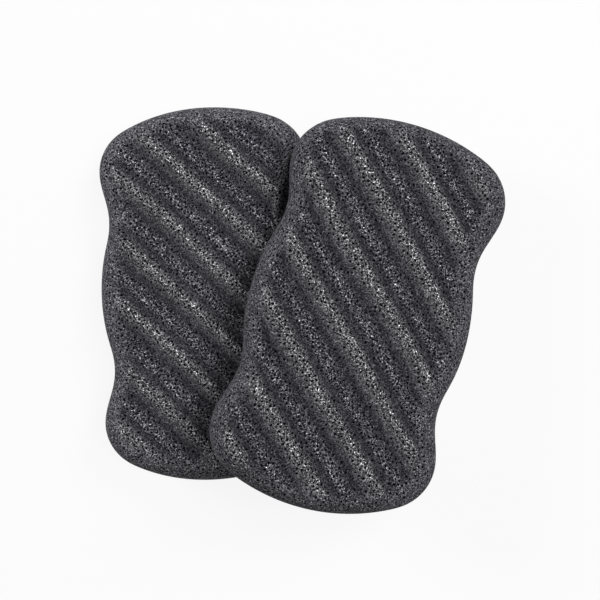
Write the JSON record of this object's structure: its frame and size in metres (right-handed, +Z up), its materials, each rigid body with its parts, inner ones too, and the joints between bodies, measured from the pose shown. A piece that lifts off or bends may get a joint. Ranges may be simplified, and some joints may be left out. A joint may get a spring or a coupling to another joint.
{
  "type": "konjac sponge",
  "caption": "Charcoal konjac sponges with wavy sides and diagonal ridges on the face, one lying flat and the other leaning on its rim, for washing skin.",
  "frame": {"origin": "middle of the lower sponge's flat underside", "axes": "+Z up, +Y along the lower sponge's length, +X towards the sponge that leans on it"},
  "size_m": [0.1541, 0.1489, 0.0588],
  "materials": {
    "lower_foam": "porous charcoal grey foam, matte",
    "upper_foam": "porous charcoal grey foam, matte"
  },
  "bodies": {
    "lower": {"lower_sponge": "lower_foam"},
    "upper": {"upper_sponge": "upper_foam"}
  },
  "joints": [
    {"name": "lift_off", "type": "slide", "parent": "lower", "child": "upper", "axis": [0, 0, 1], "range_m": [0, 0.1]}
  ]
}
